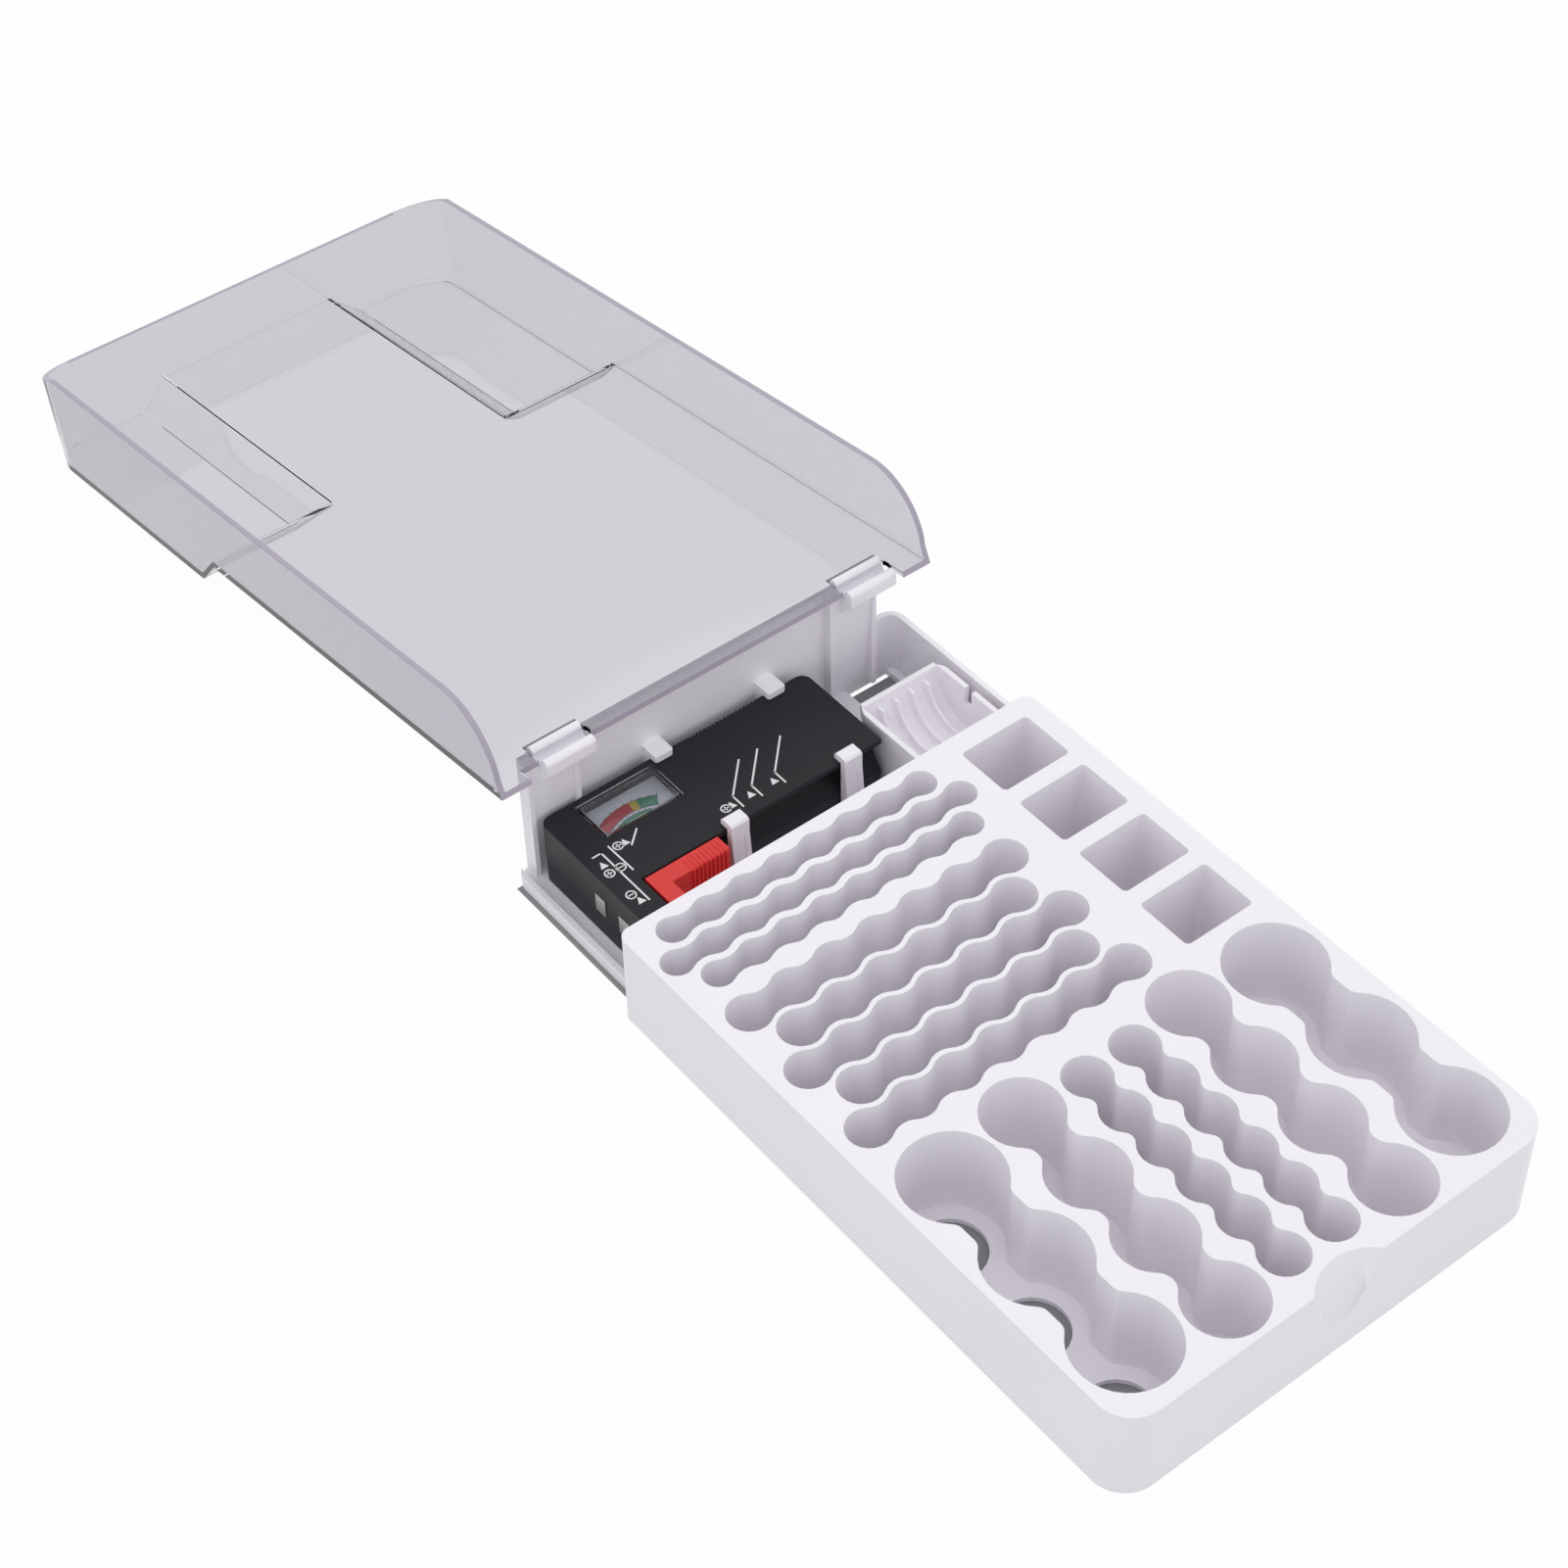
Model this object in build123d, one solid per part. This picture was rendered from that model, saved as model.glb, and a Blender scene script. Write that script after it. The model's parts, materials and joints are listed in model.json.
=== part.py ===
from build123d import *
import math
import os

# Battery storage case: an open tray of battery wells, a bay behind it with a battery tester and
# a coin-cell box, and a clear lid that swings on two open hooks at the back of the bay.
# Millimetres, +Z up, +Y to the back. The origin is the centre of the case's footprint.

# ---- case ----
wall = 2.0
tray_width = 174.0
tray_length = 240.5
tray_height = 38.5
bay_length = 70.5
deck_thickness = 2.0
well_floor = 2.0
sleeve_wall = 1.4
front_corner = 12.6
rear_corner = 4.4
narrowest_pocket = 3.0
case_length = tray_length + bay_length
case_front = -case_length / 2
case_rear = case_length / 2
tray_rear = case_front + tray_length
extra = 1.0  # how far a cut runs past the face that it opens

# ---- scalloped wells: diameter, neck and pitch of a row, and where each row lies ----
aaa_diameter, aaa_neck, aaa_pitch = 11.4, 7.4, 14.7
aaa_first_row, aaa_row_step, aaa_middle, aaa_counts = 9.9, 11.95, -20.25, (8, 9, 8)
aa_diameter, aa_neck, aa_pitch = 15.6, 10.3, 17.55
aa_first_row, aa_row_step, aa_middle, aa_counts = 52.7, 14.7, -21.45, (7, 6, 7, 6, 7)
small_diameter, small_neck, small_pitch, small_count = 16.8, 9.7, 17.07, 6
small_first, small_side = 138.2, 9.85
c_diameter, c_neck, c_pitch, c_count = 27.4, 13.8, 29.5, 4
c_first, c_side = 136.1, 34.3
d_diameter, d_neck, d_pitch, d_count = 34.8, 20.1, 37.9, 3
d_first, d_side, d_neck_fillet = 141.5, 66.6, 4.0
neck_fillet_share = 0.9
chord_tolerance = 0.08
block_width, block_depth, block_corner = 28.7, 22.5, 1.8
block_first, block_step, block_side, block_count = 19.3, 29.3, 64.8, 4
d_floor_hole, c_floor_hole = 24.0, 8.0

# ---- thumb scoop in the front edge ----
scoop_radius, scoop_reach, scoop_drop = 19.1, 5.8, 21.0

# ---- bay ----
bay_floor = 2.7
left_step, right_step = 6.8, 1.0
bay_left = left_step - tray_width / 2
bay_right = tray_width / 2 - right_step
side_wall_height = 28.8
ledge_lip_height = 3.0
bay_corner = 6.0
back_wall_height = 54.0
column_width, column_depth, column_rib = 20.6, 3.7, 1.8
left_column = bay_left + 15.7
right_column = bay_right - 22.65
column_steps, column_foot = 8, 10.0
floor_hole_width, floor_hole_depth, floor_hole_margin = 18.4, 9.5, 4.8

# ---- hinge ----
hinge_y = case_rear - 6.0
hinge_z = back_wall_height + 2.9
pin_radius = 2.0
pin_clearance = 0.05
hook_length = 19.8
left_hook = left_column + 3.8
right_hook = right_column + 4.05
hook_reach = 6.0
hook_rise = 1.9
hook_base = 2.0
mouth_height = 0.9
ridge_foot = 1.0

# ---- clear lid, measured from the hinge: u outwards, v upwards when it lies open ----
lid_wall = 2.0
lid_side_clearance = 1.5
lid_front_clearance = 1.5
lid_half_width = tray_width / 2 + lid_side_clearance + lid_wall
lid_reach = hinge_y - case_front + lid_front_clearance + lid_wall
lid_side_height = 30.5
lid_front_height = 23.4
lid_corner = 16.0
bulge_depth = 11.0
bulge_ramp, bulge_lead = 12.0, 10.1
bulge_start = hinge_y - tray_rear + d_first - d_diameter / 2 - bulge_lead
plateau_ramp, plateau_margin = 12.0, 11.2
plateau_half_width = d_side - d_diameter / 2 - plateau_margin
rim_radius = 25.0
rim_dip = 20.0
panel_setback, lid_lip, lip_width = 2.2, 8.7, 12.1
hook_slot_clearance = 0.6
hook_slot_reach = 1.4
bar_root = 0.5

# ---- coin-cell box ----
coin_width, coin_length, coin_side_gap, coin_front_gap = 37.2, 39.1, 5.3, 0.5
coin_right = bay_right - coin_side_gap
coin_left = coin_right - coin_width
coin_trough_radius = 17.5
coin_rib_height, coin_rib_thickness, coin_rib_root, coin_rib_drop = 3.0, 1.2, 0.2, 3.0
coin_rib_first, coin_rib_step, coin_ribs = coin_left + 8.4, 6.87, 4
coin_notch_width, coin_notch_depth, coin_notch_back = 3.4, 7.8, 20.5

# ---- tester housing ----
tester_side_gap, tester_coin_gap, tester_rear_gap = 7.7, 2.9, 4.3
tester_depth, tester_height = 42.4, 26.1
tester_left = bay_left + tester_side_gap
tester_right = coin_left - tester_coin_gap
tester_rear = case_rear - wall - tester_rear_gap
tester_front = tester_rear - tester_depth
tester_top = bay_floor + tester_height
tester_wall = 1.6
tester_corner = 4.0
arm_width, arm_gap = 11.0, 6.3
arm_right = tester_left + arm_width
arm_front = tray_rear + arm_gap
groove_low, groove_high, groove_depth = bay_floor + 11.3, tester_top - 2.1, 5.5
groove_wall = 1.2
shell_split = (groove_low + groove_high) / 2
grip_count, grip_pitch, grip_depth = 17, 1.7, 0.7
grip_first = tester_right - 49.6

# ---- meter window ----
window_width, window_depth = 32.4, 17.9
window_left = tester_left + 13.0
window_right = window_left + window_width
window_rear = tester_rear - 2.5
window_front = window_rear - window_depth
window_proud, window_gap, window_skin = 0.3, 0.1, 1.0
window_flange, window_rear_flange = 1.0, 0.8

# ---- clips that hold the tester ----
clip_left = tester_left + 50.1
clip_right = tester_right - 14.5
clip_width, clip_gap, clip_thickness = 7.5, 0.3, 2.6
clip_overhang, clip_corner = 3.5, 1.0
clip_rib, clip_rib_height = 1.2, 8.0
post_thickness, post_gap, post_foot, post_neck, post_chamfer = 2.4, 0.5, 2.0, 4.0, 0.8
post_groove_length, post_groove_depth = 20.0, 0.5

# ---- meter ----
pivot_x = window_left + 16.3
pivot_y = window_front - 10.8
spindle_radius, bearing_clearance = 0.4, 0.05
dial_z, dial_thickness = tester_top - 7.4, 0.4
dial_side, dial_front_gap, dial_rear = 0.8, 0.5, 0.7
needle_length, needle_width, needle_thickness, needle_height = 21.5, 0.5, 0.3, 0.8
needle_tail, needle_tail_width = 4.0, 0.8
needle_rest, needle_swing = 33.0, 66.0
bracket_plate, bracket_half, bracket_foot, bracket_arm = 1.0, 3.0, 5.0, 1.2
yoke_radius, yoke_wall, yoke_height, yoke_floor = 4.9, 0.8, 7.0, 1.0
core_radius, core_height, core_bar = 2.3, 4.6, 1.2
coil_half_length, coil_width, coil_height, coil_bundle, coil_clearance = 3.3, 1.4, 6.6, 0.7, 0.4
pivot_pin = 0.6
meter_seat = bay_floor + tester_wall
coil_low = meter_seat + bracket_plate + yoke_floor + coil_clearance

# ---- slider: it travels until it meets the left clip ----
contact_thickness = 0.4
slider_travel, slider_stop_gap, slider_gap, slider_contact_gap = 3.8, 0.35, 0.5, 0.3
slider_left = arm_right + 2 * contact_thickness + slider_contact_gap
slider_right = clip_left - clip_width / 2 - slider_stop_gap - slider_travel
slider_front = tester_front - 7.4
slider_low, slider_high = bay_floor + 3.3, tester_top - 0.3
slider_leg_front = arm_front + 0.5
slider_leg_right = arm_right + 7.5
slider_chamfer = 0.8
track_low, track_high, track_margin, neck_gap = bay_floor + 5.5, bay_floor + 7.1, 0.6, 0.25
neck_inset, neck_length = 2.0, 6.0
runner_inset, runner_length, runner_height, runner_thickness, runner_gap = 1.0, 12.0, 6.0, 1.2, 0.3
rib_count, rib_pitch, rib_width, rib_height, rib_top, rib_first, rib_back = 9, 1.7, 0.9, 0.6, 0.3, 1.6, 1.5

# ---- inside the tester ----
boss_radius, boss_setback, boss_inset, front_boss_inset = 2.9, 0.4, 5.8, 7.2
screw_radius, screw_grip, screw_room = 1.2, 5.0, 1.0
screw_head_radius, screw_head_height, thread_clearance = 2.4, 1.6, 0.05
screw_places = ((tester_left + boss_inset, tester_rear - boss_inset),
                (tester_right - boss_inset, tester_front + front_boss_inset))
board_length, board_width, board_thickness, board_height = 30.0, 18.0, 1.2, 4.0
board_left = tester_right - 48.6
board_front = tester_front + 13.2
foot_width, foot_inset = 3.0, 1.0
resistor_radius, resistor_length, resistor_rows = 1.5, 8.0, (5.0, 12.0)

# ---- contact strips on the tester's left face and arm ----
strip_width, strip_height, strip_z = 5.4, 7.7, bay_floor + 14.1
strip_places = ((tester_front + 8.0, "nine_volt_plus"), (arm_front + 10.4, "nine_volt_minus"))
tongue_width, tongue_thickness, tongue_gap = 2.0, 0.8, 0.1
strip_tongue, plate_tongue = 2.0, 0.5
plate_width, plate_height = 8.0, 14.0
slider_plate_inset, slider_plate_length, slider_plate_low, slider_plate_drop = 1.2, 9.4, 3.0, 4.0

os.makedirs("parts", exist_ok=True)


def save(name, shape):
    """Writes one piece to its own file."""
    shape.label = name
    export_step(shape, f"parts/{name}.step")


def block(x0, x1, y0, y1, z0, z1):
    """A plain block between six planes."""
    return Pos((x0 + x1) / 2, (y0 + y1) / 2, (z0 + z1) / 2) * Box(x1 - x0, y1 - y0, z1 - z0)


def corner_rectangle(x0, x1, y0, y1, front_radius, rear_radius):
    """A rectangle whose two front corners and two rear corners have their own radius."""
    outline = Pos((x0 + x1) / 2, (y0 + y1) / 2) * Rectangle(x1 - x0, y1 - y0)
    corners = outline.vertices().sort_by(Axis.Y)
    if front_radius:
        outline = fillet(corners[:2], front_radius)
        corners = outline.vertices().sort_by(Axis.Y)
    if rear_radius:
        outline = fillet(corners[-2:], rear_radius)
    return outline


def side_plate(start, thickness, points):
    """A plate that stands across X, from its outline seen from the side."""
    plane = Plane(origin=(start, 0, 0), x_dir=(0, 1, 0), z_dir=(1, 0, 0))
    return extrude(plane * make_face(Polyline(*points, close=True)), thickness)


# ---- tray ----
def arc_points(x, y, radius, start, end):
    """Points along an arc, spaced so that no chord strays from it by more than the tolerance."""
    step = 2 * math.acos(1 - chord_tolerance / radius)
    count = math.ceil(abs(end - start) / step)
    angles = [start + (end - start) * i / count for i in range(count + 1)]
    return [(x + radius * math.cos(angle), y + radius * math.sin(angle)) for angle in angles]


def round_face(radius):
    """A round face with the outline of arc_points."""
    return make_face(Polyline(*arc_points(0, 0, radius, 0, 2 * math.pi)[:-1], close=True))


def scallop_row(count, pitch, diameter, neck, neck_fillet=None):
    """Round wells in a row, joined by a neck whose corners are rounded into a wave."""
    radius, half_neck = diameter / 2, neck / 2
    widest = (pitch ** 2 / 4 + half_neck ** 2 - radius ** 2) / (2 * (radius - half_neck))
    bend = neck_fillet or neck_fillet_share * widest
    bend_y = half_neck + bend
    bend_x = math.sqrt((radius + bend) ** 2 - bend_y ** 2)
    meet = math.atan2(bend_y, bend_x)
    edge = []
    for i in range(count):
        x = pitch * ((count - 1) / 2 - i)
        if i > 0:
            edge += arc_points(x + bend_x, bend_y, bend, -math.pi / 2, meet - math.pi)[:-1]
        start, end = (meet if i > 0 else 0), (math.pi - meet if i < count - 1 else math.pi)
        edge += arc_points(x, 0, radius, start, end)
        if i < count - 1:
            edge += arc_points(x - bend_x, bend_y, bend, -meet, -math.pi / 2)[1:]
    other_side = [(x, -y) for x, y in reversed(edge[1:-1])]
    return make_face(Polyline(*edge, *other_side, close=True))


def sleeve_outline(count, pitch, diameter):
    """The straight-sided sleeve under the deck that holds a row of wells."""
    half, radius = pitch * (count - 1) / 2, diameter / 2 + sleeve_wall
    ends = arc_points(half, 0, radius, -math.pi / 2, math.pi / 2) + arc_points(
        -half, 0, radius, math.pi / 2, 3 * math.pi / 2)
    return make_face(Polyline(*ends, close=True))


def tray_rows():
    """Each row of wells: its outline and its straight-sided sleeve, in place."""
    rows = []

    def add(x, depth, angle, count, pitch, diameter, neck, neck_fillet=None):
        place = Pos(x, tray_rear - depth) * Rot(0, 0, angle)
        rows.append((place * scallop_row(count, pitch, diameter, neck, neck_fillet),
                     place * sleeve_outline(count, pitch, diameter)))

    for i, count in enumerate(aaa_counts):
        add(aaa_middle, aaa_first_row + i * aaa_row_step, 0, count, aaa_pitch, aaa_diameter, aaa_neck)
    for i, count in enumerate(aa_counts):
        add(aa_middle, aa_first_row + i * aa_row_step, 0, count, aa_pitch, aa_diameter, aa_neck)
    for side in (-1, 1):
        add(side * small_side, small_first + small_pitch * (small_count - 1) / 2, 90,
            small_count, small_pitch, small_diameter, small_neck)
        add(side * c_side, c_first + c_pitch * (c_count - 1) / 2, 90,
            c_count, c_pitch, c_diameter, c_neck)
        add(side * d_side, d_first + d_pitch * (d_count - 1) / 2, 90,
            d_count, d_pitch, d_diameter, d_neck, d_neck_fillet)
    return rows


def block_wells(margin):
    """The four rectangular wells, grown by a margin on each side."""
    wells = []
    for i in range(block_count):
        y = tray_rear - block_first - i * block_step
        half_x, half_y = block_width / 2 + margin, block_depth / 2 + margin
        wells.append(corner_rectangle(block_side - half_x, block_side + half_x,
                                      y - half_y, y + half_y, block_corner, block_corner))
    return wells


def scoop(margin):
    """A leaning cylinder that takes the thumb scoop out of the front edge."""
    lean = math.degrees(math.atan2(scoop_reach, scoop_drop))
    middle = Pos(0, case_front + scoop_reach - scoop_radius, tray_height)
    return middle * Rot(-lean, 0, 0) * Cylinder(scoop_radius + margin, 2 * tray_height)


def floor_holes():
    """A round hole through the floor of each of the larger wells."""
    holes = []
    for side, first, pitch, count, diameter in ((d_side, d_first, d_pitch, d_count, d_floor_hole),
                                                (c_side, c_first, c_pitch, c_count, c_floor_hole)):
        hole = round_face(diameter / 2)
        holes += [Pos(x, tray_rear - first - i * pitch) * hole for x in (-side, side) for i in range(count)]
    return holes


def battery_tray():
    """Deck, side walls and battery wells as one thin-walled moulding, open underneath."""
    half = tray_width / 2
    body = extrude(corner_rectangle(-half, half, case_front, tray_rear, front_corner, rear_corner),
                   tray_height)
    pockets = corner_rectangle(-half + wall, half - wall, case_front + wall, tray_rear - wall,
                               front_corner - wall, rear_corner - wall)
    wells = block_wells(0)
    for outline, sleeve in tray_rows():
        pockets -= sleeve
        wells.append(outline)
    for sleeve in block_wells(sleeve_wall):
        pockets -= sleeve
    under = [face for face in pockets.faces()
             if min(face.bounding_box().size.X, face.bounding_box().size.Y) > narrowest_pocket]
    body -= extrude(Sketch() + under, tray_height - deck_thickness) - scoop(wall)
    body -= Pos(0, 0, well_floor) * extrude(Sketch() + wells, tray_height)
    body -= extrude(Sketch() + floor_holes(), 2 * well_floor)
    return body - scoop(0)


# ---- bay ----
def hinge_hook(x):
    """An open hook: two rounded ridges and a bore that the lid's bar snaps into from above."""
    bore = pin_radius + pin_clearance
    shelf = hinge_z - bore - hook_base
    lean = hook_reach - (hinge_y - (case_rear - wall - column_depth))
    outline = Polyline((hinge_y - hook_reach, shelf), (hinge_y - hook_reach, hinge_z),
                       (hinge_y + hook_reach, hinge_z), (hinge_y + hook_reach, shelf - lean),
                       (hinge_y - hook_reach + lean, shelf - lean), close=True)
    ridge_radius = (hook_reach - bore) / 2
    profile = make_face(outline)
    for side in (-1, 1):
        centre = hinge_y + side * (bore + ridge_radius)
        profile += Pos(centre, hinge_z + hook_rise - ridge_radius) * Circle(ridge_radius)
        profile += Pos(centre, hinge_z - ridge_foot / 2) * Rectangle(2 * ridge_radius, ridge_foot)
    profile -= Pos(hinge_y, hinge_z) * Circle(bore)
    mouth = math.sqrt(bore ** 2 - mouth_height ** 2)
    profile -= Pos(hinge_y, hinge_z + mouth_height + hook_rise) * Rectangle(2 * mouth, 2 * hook_rise)
    plane = Plane(origin=(x - hook_length / 2, 0, 0), x_dir=(0, 1, 0), z_dir=(1, 0, 0))
    return extrude(plane * profile, hook_length)


def column(x):
    """A hinge column: two upright ribs and, between them, a face that steps back downwards."""
    back = case_rear - wall
    front = back - column_depth
    top = hinge_z - pin_radius - pin_clearance - hook_base
    left, right = x - column_width / 2, x + column_width / 2
    rise = (top - column_foot) / column_steps
    tread = column_depth / column_steps
    stairs = [(back, top), (front, top)]
    for i in range(column_steps):
        stairs += [(front + tread * i, top - rise * (i + 1))]
        if i < column_steps - 1:
            stairs += [(front + tread * (i + 1), top - rise * (i + 1))]
    stairs += [(back, column_foot)]
    return [block(left, left + column_rib, front, back, bay_floor, top),
            block(right - column_rib, right, front, back, bay_floor, top),
            side_plate(left + column_rib, column_width - 2 * column_rib, stairs)]


def rear_clip(x):
    """A tab on the back wall that reaches over the tester's rear edge, with a rib under it."""
    back = case_rear - wall
    under = tester_top + clip_gap
    left, right = x - clip_width / 2, x + clip_width / 2
    tab = block(left, right, tester_rear - clip_overhang, back, under, under + clip_thickness)
    tab = fillet(tab.edges().filter_by(Axis.Z).sort_by(Axis.Y)[:2], clip_corner)
    rib = block(left, left + clip_rib, tester_rear + clip_gap, back, under - clip_rib_height, under)
    return [tab, rib]


def front_clip(x):
    """A post with a hooked head that holds the tester's front edge down."""
    face = tester_front - post_gap
    outer = face - post_thickness
    under = tester_top + clip_gap
    top = under + clip_thickness
    tip = face + clip_overhang
    points = [(face, bay_floor), (face, under), (tip, under), (tip, top - post_chamfer),
              (tip - post_chamfer, top), (outer + post_chamfer, top), (outer, top - post_chamfer),
              (outer, under - post_neck), (outer - post_foot, bay_floor)]
    post = side_plate(x - clip_width / 2, clip_width, points)
    lean = math.degrees(math.atan2(post_foot, under - post_neck - bay_floor))
    groove = Pos(x, outer - post_foot, bay_floor) * Rot(-lean, 0, 0) * Pos(0, 0, extra + post_groove_length / 2)
    return post - groove * Box(clip_width / 2, 2 * post_groove_depth, post_groove_length)


def tester_bay():
    """Floor, walls, hinge columns and clips behind the tray, as one moulding."""
    left_edge = left_column - column_width / 2
    right_edge = right_column + column_width / 2
    inner_rear = case_rear - wall
    plan = corner_rectangle(bay_left, bay_right, tray_rear, case_rear, 0, bay_corner)
    inside = corner_rectangle(bay_left + wall, bay_right - wall, tray_rear - extra, inner_rear,
                              0, bay_corner - wall)
    shell = extrude(plan, side_wall_height) - Pos(0, 0, bay_floor) * extrude(inside, tray_height)
    shell -= block(bay_left - extra, left_edge, tray_rear - extra, case_rear + extra,
                   bay_floor + ledge_lip_height, tray_height)
    shell -= block(bay_left + wall, left_edge, inner_rear - extra, case_rear + extra,
                   bay_floor, tray_height)
    shell += block(left_edge, right_edge, inner_rear, case_rear, 0, back_wall_height)
    for x, hook in ((left_column, left_hook), (right_column, right_hook)):
        for piece in column(x):
            shell += piece
        shell += hinge_hook(hook)
    for x in (clip_left, clip_right):
        for piece in rear_clip(x):
            shell += piece
        shell += front_clip(x)
    hole_right = bay_right - floor_hole_margin
    return shell - block(hole_right - floor_hole_width, hole_right, inner_rear - floor_hole_depth,
                         inner_rear, -extra, bay_floor + extra)


# ---- coin-cell box ----
def coin_cell_box():
    """A loose box with a round-bottomed trough that four ribs divide into five slots."""
    front = tray_rear + coin_front_gap
    rear = front + coin_length
    top = side_wall_height
    plan = corner_rectangle(coin_left, coin_right, front, rear, 0, bay_corner)
    body = Pos(0, 0, bay_floor) * extrude(plan, top - bay_floor)
    body -= block(coin_left + wall, coin_right - wall, front + wall, rear - wall,
                  bay_floor - extra, top - wall)
    axis = Pos((coin_left + coin_right) / 2, (front + rear) / 2, top) * Rot(0, 90, 0)
    across = coin_width - 2 * wall
    room = block(coin_left, coin_right, front, rear, bay_floor, top)
    body += (axis * Cylinder(coin_trough_radius + wall, across)) & room
    body -= axis * Cylinder(coin_trough_radius, across)
    ring = Cylinder(coin_trough_radius + coin_rib_root, coin_rib_thickness) - Cylinder(
        coin_trough_radius - coin_rib_height, coin_rib_thickness)
    below = block(coin_left, coin_right, front, rear, bay_floor, top - coin_rib_drop)
    for i in range(coin_ribs):
        rib_x = coin_rib_first + i * coin_rib_step
        body += (Pos(rib_x, (front + rear) / 2, top) * Rot(0, 90, 0) * ring) & below
    notch_y = front + coin_notch_back
    return body - block(coin_right - wall - extra, coin_right + extra, notch_y - coin_notch_width / 2,
                        notch_y + coin_notch_width / 2, top - coin_notch_depth, top + extra)


# ---- clear lid ----
def lid_block(inset, near, low, high):
    """A block with the lid's plan, inset from its side and front walls, between two heights."""
    half = lid_half_width - inset
    plan = corner_rectangle(-half, half, near, lid_reach - inset, 0, lid_corner - inset)
    return Pos(0, 0, low) * extrude(plan, high - low)


def bulge(side, inset):
    """One raised pocket of the lid over the tall cells, its inner side and near end sloping."""
    half = lid_half_width - inset
    shift = inset * (math.sqrt(2) - 1)
    skin, low = -lid_wall / 2 + inset, -bulge_depth - lid_wall / 2 + inset
    inner = plateau_half_width + shift
    across = [(side * inner, lid_wall), (side * half, lid_wall), (side * half, low),
              (side * (inner + plateau_ramp), low), (side * inner, skin)]
    swept = extrude(Plane.XZ * make_face(Polyline(*across, close=True)), inset - lid_reach)
    near = bulge_start + shift
    along = [(near, skin), (near + bulge_ramp, low), (lid_reach - inset, low),
             (lid_reach - inset, lid_wall), (near, lid_wall)]
    return swept & side_plate(-lid_half_width, 2 * lid_half_width, along)


def rim_cut():
    """What is taken off above the rims: a round rise near the hinge and a dip to the front wall."""
    near, far = lid_wall - lid_lip, lid_reach
    drop = rim_radius * (1 - math.sqrt(0.5))
    start = (near, lid_side_height - rim_radius)
    middle = (near + drop, lid_side_height - drop)
    end = (near + rim_radius, lid_side_height)
    over, before = 2 * lid_side_height, -2 * lid_lip
    edge = [Polyline((before, over), (before, -lid_wall / 2), (-lid_lip, -lid_wall / 2), start),
            ThreePointArc(start, middle, end),
            Polyline(end, (far - rim_dip, lid_side_height), (far, lid_front_height),
                     (far + extra, lid_front_height), (far + extra, over), (before, over))]
    plane = Plane(origin=(-lid_half_width - extra, 0, 0), x_dir=(0, 1, 0), z_dir=(1, 0, 0))
    return extrude(plane * make_face(Curve() + edge), 2 * (lid_half_width + extra))


def clear_lid():
    """The lid lying open: panel below, rims up, hinge bars at the near end."""
    outer = lid_block(0, -lid_lip, -lid_wall / 2, lid_side_height + extra)
    inner = lid_block(lid_wall, -2 * lid_lip, lid_wall / 2, 2 * lid_side_height)
    for side in (-1, 1):
        outer += bulge(side, 0) & lid_block(0, 0, -2 * bulge_depth, bulge_depth)
        inner += bulge(side, lid_wall) & lid_block(lid_wall, 0, -2 * bulge_depth, bulge_depth)
    lid = outer - inner - rim_cut()
    straight = lid_half_width - lid_corner
    lid -= block(-straight, straight, lid_reach - 2 * lid_wall, lid_reach + extra,
                 lid_front_height, lid_side_height + 2 * extra)
    lip_start = lid_half_width - lip_width
    lid -= block(-lip_start, lip_start, -lid_lip - extra, -panel_setback, -lid_wall, lid_wall)
    span = hook_length / 2 + hook_slot_clearance
    for x in (left_hook, right_hook):
        lid -= block(x - span, x + span, -lid_lip, hook_reach + hook_slot_reach, -lid_wall, lid_wall)
        lid += Pos(x, 0, 0) * Rot(0, 90, 0) * Cylinder(pin_radius, 2 * (span + bar_root))
    return lid


def open_angle():
    """How far the open lid leans down before its front edge rests on the table."""
    depth = bulge_depth + lid_wall / 2
    return math.asin(hinge_z / math.hypot(lid_reach, depth)) - math.atan2(depth, lid_reach)


def place_lid(lid):
    """Hangs the lid on its hinge, open, with its front edge on the table."""
    return Pos(0, hinge_y, hinge_z) * Rot(-math.degrees(open_angle()), 0, 0) * lid


# ---- tester housing ----
def tester_body(inset):
    """The tester's outside or, inset by its wall, the hollow in it: body, arm and V groove."""
    slope = (groove_high - groove_low) / 2 / groove_depth
    skin = groove_wall * inset / tester_wall
    apex = tester_front + groove_depth + skin * math.hypot(1, 1 / slope)
    front, rear = tester_front + inset, tester_rear - inset
    low, top = bay_floor + inset, tester_top - inset
    left, right = tester_left + inset, tester_right - inset
    mouth = (apex - front) * slope
    profile = [(front, low), (rear, low), (rear, top), (front, top), (front, shell_split + mouth),
               (apex, shell_split), (front, shell_split - mouth)]
    body = side_plate(left, right - left, profile)
    arm = block(left, arm_right - inset, arm_front + inset, tester_front + 4 * tester_wall, low, top)
    plan = corner_rectangle(left, right, arm_front + inset, rear, 0, tester_corner - inset / 2)
    return (body + arm) & extrude(plan, 2 * tester_top)


def tester_shell(upper):
    """One half of the tester's housing, split level with the bottom of the groove."""
    shell = tester_body(0) - tester_body(tester_wall)
    reach = block(tester_left - extra, tester_right + extra, arm_front - extra, tester_rear + extra,
                  *((shell_split, tester_top + extra) if upper else (0, shell_split)))
    half = shell & reach
    for x, y in screw_places:
        boss = Pos(x, y, (bay_floor + tester_top) / 2) * Cylinder(boss_radius, tester_height)
        half += boss & reach & tester_body(boss_setback)
    hole_top = shell_split + screw_grip + screw_room
    for x, y in screw_places:
        half -= Pos(x, y, hole_top / 2) * Cylinder(screw_radius + thread_clearance, hole_top)
        half -= Pos(x, y, bay_floor) * Cylinder(screw_head_radius + thread_clearance,
                                                2 * screw_head_height)
    return half


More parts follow.
